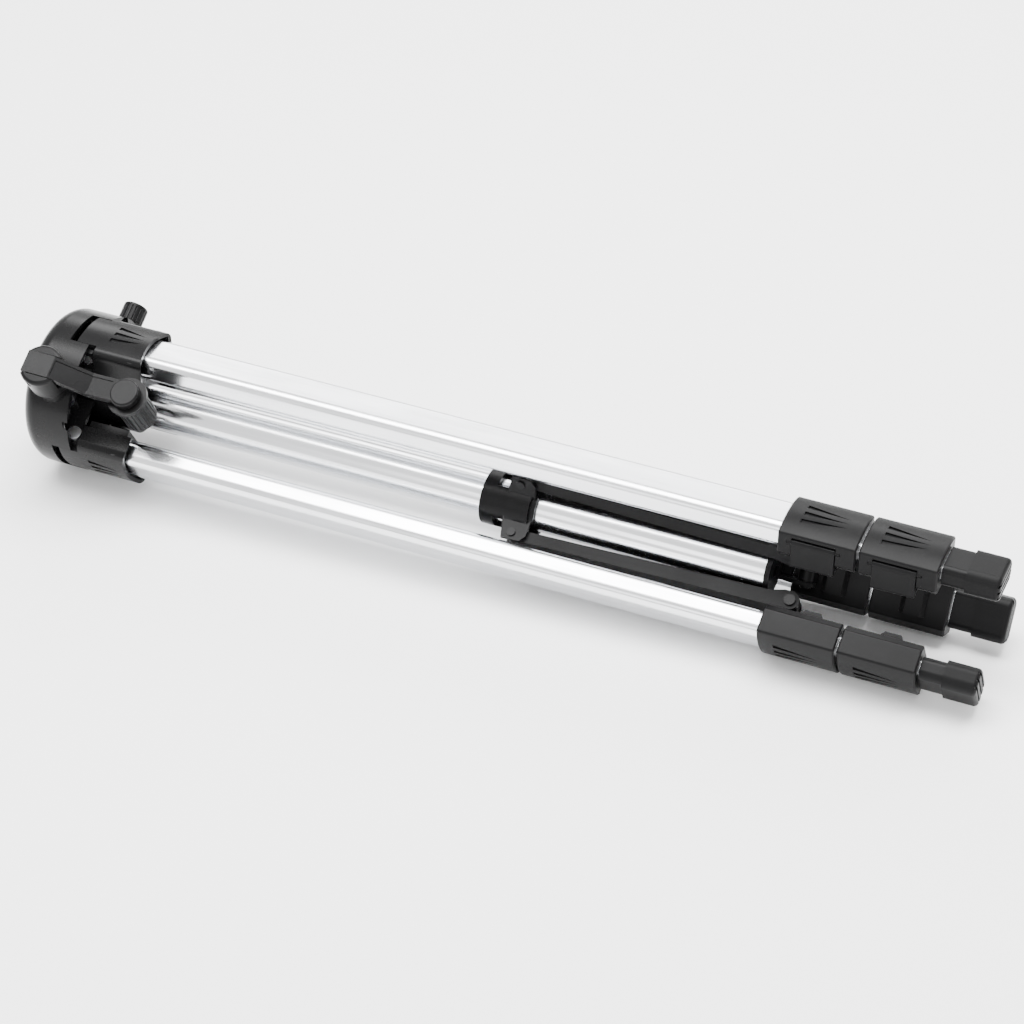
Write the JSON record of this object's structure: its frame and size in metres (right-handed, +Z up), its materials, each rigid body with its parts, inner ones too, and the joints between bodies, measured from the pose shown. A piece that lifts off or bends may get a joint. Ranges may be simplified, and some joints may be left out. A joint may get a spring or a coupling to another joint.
{
  "type": "folding tripod for laser level",
  "caption": "Folded telescoping tripod with round hub, bright tubes, flip locks, crank and mounting stud for a laser level.",
  "frame": {"origin": "centre of the folded tripod's box in plan, at the level of the surface it lies on", "axes": "+X along the folded tripod from the head to the feet, +Z up as it lies on its hub rim and two lower locks"},
  "size_m": [0.582, 0.1088, 0.0987],
  "materials": {
    "hub_plastic": "satin moulded black plastic",
    "black_plastic": "fine-grained moulded black plastic",
    "brace_plastic": "grained glass-filled black plastic",
    "aluminium": "bright drawn and clear anodised",
    "steel": "bright zinc plated",
    "black_steel": "smooth blackened steel",
    "rack_plastic": "plain black acetal",
    "rubber": "matt rubber"
  },
  "bodies": {
    "front_leg": {"front_bracket": "hub_plastic", "front_upper_tube": "aluminium", "front_upper_lock": "black_plastic", "front_brace_pin": "black_steel"},
    "hub": {"hub_shell": "hub_plastic", "hub_cap": "hub_plastic", "cap_screws": "steel", "guide_tube": "aluminium", "guide_tube_plug": "black_plastic", "top_hinge_pin": "steel", "front_hinge_pin": "steel", "rear_hinge_pin": "steel"},
    "column": {"column_tube": "aluminium", "column_rack": "rack_plastic", "column_bush": "black_plastic", "head_plate": "aluminium", "head_pad": "rubber", "mount_stud": "steel"},
    "pinion": {"pinion_shaft": "steel"},
    "crank_head": {"crank_head": "black_plastic", "crank_hinge_pin": "steel"},
    "crank_arm": {"crank_arm": "black_plastic", "knob_spindle": "steel"},
    "crank_knob": {"crank_knob": "black_plastic"},
    "lock_knob": {"lock_knob": "black_plastic", "lock_screw": "steel"},
    "collar": {"spreader_collar": "black_plastic", "collar_rivets": "black_steel"},
    "top_leg": {"top_bracket": "hub_plastic", "top_upper_tube": "aluminium", "top_upper_lock": "black_plastic", "top_brace_pin": "black_steel"},
    "rear_leg": {"rear_bracket": "hub_plastic", "rear_upper_tube": "aluminium", "rear_upper_lock": "black_plastic", "rear_brace_pin": "black_steel"},
    "top_middle": {"top_middle_tube": "aluminium", "top_lower_lock": "black_plastic"},
    "top_lower": {"top_lower_tube": "aluminium", "top_foot_sleeve": "black_plastic", "top_foot": "rubber"},
    "top_upper_lever": {"top_upper_lever": "black_plastic"},
    "top_lower_lever": {"top_lower_lever": "black_plastic"},
    "top_brace": {"top_brace": "brace_plastic"},
    "front_middle": {"front_middle_tube": "aluminium", "front_lower_lock": "black_plastic"},
    "front_lower": {"front_lower_tube": "aluminium", "front_foot_sleeve": "black_plastic", "front_foot": "rubber"},
    "front_upper_lever": {"front_upper_lever": "black_plastic"},
    "front_lower_lever": {"front_lower_lever": "black_plastic"},
    "front_brace": {"front_brace": "brace_plastic"},
    "rear_middle": {"rear_middle_tube": "aluminium", "rear_lower_lock": "black_plastic"},
    "rear_lower": {"rear_lower_tube": "aluminium", "rear_foot_sleeve": "black_plastic", "rear_foot": "rubber"},
    "rear_upper_lever": {"rear_upper_lever": "black_plastic"},
    "rear_lower_lever": {"rear_lower_lever": "black_plastic"},
    "rear_brace": {"rear_brace": "brace_plastic"}
  },
  "joints": [
    {"name": "spread", "type": "hinge", "parent": "front_leg", "child": "hub", "pos_m": [-0.24374, -0.02771, 0.0284], "axis": [0.0185, -0.5, 0.8658], "range_deg": [0, 18]},
    {"name": "top_leg_hinge", "type": "hinge", "parent": "hub", "child": "top_leg", "pos_m": [-0.24265, 0.00173, 0.07939], "axis": [0, -1, 0], "range_deg": [-0.5, 18.5]},
    {"name": "rear_leg_hinge", "type": "hinge", "parent": "hub", "child": "rear_leg", "pos_m": [-0.24374, 0.03118, 0.0284], "axis": [0.0185, 0.5, 0.8658], "range_deg": [-0.5, 18.5]},
    {"name": "top_brace_hinge", "type": "hinge", "parent": "top_leg", "child": "top_brace", "pos_m": [0.18087, 0.00173, 0.05233], "axis": [0, -1, 0], "range_deg": [-0.5, 34.97]},
    {"name": "front_brace_hinge", "type": "hinge", "parent": "front_leg", "child": "front_brace", "pos_m": [0.18035, -0.01212, 0.02834], "axis": [-0.0185, 0.5, -0.8658], "range_deg": [-0.5, 34.97]},
    {"name": "rear_brace_hinge", "type": "hinge", "parent": "rear_leg", "child": "rear_brace", "pos_m": [0.18035, 0.01559, 0.02834], "axis": [0.0185, 0.5, 0.8658], "range_deg": [-0.5, 34.97]},
    {"name": "collar_slide", "type": "slide", "parent": "hub", "child": "collar", "axis": [0.9998, 0, -0.0214], "range_m": [-0.0005, 0.04389]},
    {"name": "column_lift", "type": "slide", "parent": "hub", "child": "column", "axis": [-0.9998, 0, 0.0214], "range_m": [0, 0.26]},
    {"name": "pinion_turn", "type": "hinge", "parent": "hub", "child": "pinion", "pos_m": [-0.25555, -0.01221, 0.03761], "axis": [0.0185, -0.5, 0.8658], "continuous": true},
    {"name": "crank_turn", "type": "hinge", "parent": "hub", "child": "crank_head", "pos_m": [-0.25555, -0.01221, 0.03761], "axis": [-0.0185, 0.5, -0.8658], "range_deg": [0, 200]},
    {"name": "crank_fold", "type": "hinge", "parent": "crank_head", "child": "crank_arm", "pos_m": [-0.25844, -0.04221, 0.08964], "axis": [-0.0107, -0.866, -0.4999], "range_deg": [0, 180]},
    {"name": "crank_knob_spin", "type": "hinge", "parent": "crank_arm", "child": "crank_knob", "pos_m": [-0.20491, -0.02971, 0.06684], "axis": [0.0185, -0.5, 0.8658], "continuous": true},
    {"name": "lock_knob_turn", "type": "hinge", "parent": "hub", "child": "lock_knob", "pos_m": [-0.24784, 0.04503, 0.0705], "axis": [0.0107, 0.866, 0.4999], "continuous": true},
    {"name": "top_middle_slide", "type": "slide", "parent": "top_leg", "child": "top_middle", "axis": [0.9998, 0, -0.0214], "range_m": [0, 0.34]},
    {"name": "top_lower_slide", "type": "slide", "parent": "top_middle", "child": "top_lower", "axis": [0.9998, 0, -0.0214], "range_m": [0, 0.33]},
    {"name": "top_upper_lever_hinge", "type": "hinge", "parent": "top_leg", "child": "top_upper_lever", "pos_m": [0.19168, -0.01377, 0.0715], "axis": [-0.9998, 0, 0.0214], "range_deg": [0, 100]},
    {"name": "top_lower_lever_hinge", "type": "hinge", "parent": "top_middle", "child": "top_lower_lever", "pos_m": [0.23587, -0.01377, 0.07056], "axis": [-0.9998, 0, 0.0214], "range_deg": [0, 100]},
    {"name": "front_middle_slide", "type": "slide", "parent": "front_leg", "child": "front_middle", "axis": [0.9998, 0, -0.0214], "range_m": [0, 0.34]},
    {"name": "front_lower_slide", "type": "slide", "parent": "front_middle", "child": "front_lower", "axis": [0.9998, 0, -0.0214], "range_m": [0, 0.33]},
    {"name": "front_upper_lever_hinge", "type": "hinge", "parent": "front_leg", "child": "front_upper_lever", "pos_m": [0.19026, -0.02117, 0.005], "axis": [-0.9998, 0, 0.0214], "range_deg": [0, 100]},
    {"name": "front_lower_lever_hinge", "type": "hinge", "parent": "front_middle", "child": "front_lower_lever", "pos_m": [0.23445, -0.02117, 0.00405], "axis": [-0.9998, 0, 0.0214], "range_deg": [0, 100]},
    {"name": "rear_middle_slide", "type": "slide", "parent": "rear_leg", "child": "rear_middle", "axis": [0.9998, 0, -0.0214], "range_m": [0, 0.34]},
    {"name": "rear_lower_slide", "type": "slide", "parent": "rear_middle", "child": "rear_lower", "axis": [0.9998, 0, -0.0214], "range_m": [0, 0.33]},
    {"name": "rear_upper_lever_hinge", "type": "hinge", "parent": "rear_leg", "child": "rear_upper_lever", "pos_m": [0.19083, 0.04014, 0.03184], "axis": [-0.9998, 0, 0.0214], "range_deg": [0, 100]},
    {"name": "rear_lower_lever_hinge", "type": "hinge", "parent": "rear_middle", "child": "rear_lower_lever", "pos_m": [0.23502, 0.04014, 0.03089], "axis": [-0.9998, 0, 0.0214], "range_deg": [0, 100]}
  ],
  "couplings": [
    {"joint": "top_leg_hinge", "follows": "spread", "ratio": 1},
    {"joint": "rear_leg_hinge", "follows": "spread", "ratio": 1},
    {"joint": "collar_slide", "follows": "spread", "m_per_rad": 0.1381},
    {"joint": "pinion_turn", "follows": "column_lift", "rad_per_m": 166.67},
    {"joint": "top_brace_hinge", "follows": "spread", "ratio": 1.915},
    {"joint": "front_brace_hinge", "follows": "spread", "ratio": 1.915},
    {"joint": "rear_brace_hinge", "follows": "spread", "ratio": 1.915}
  ]
}
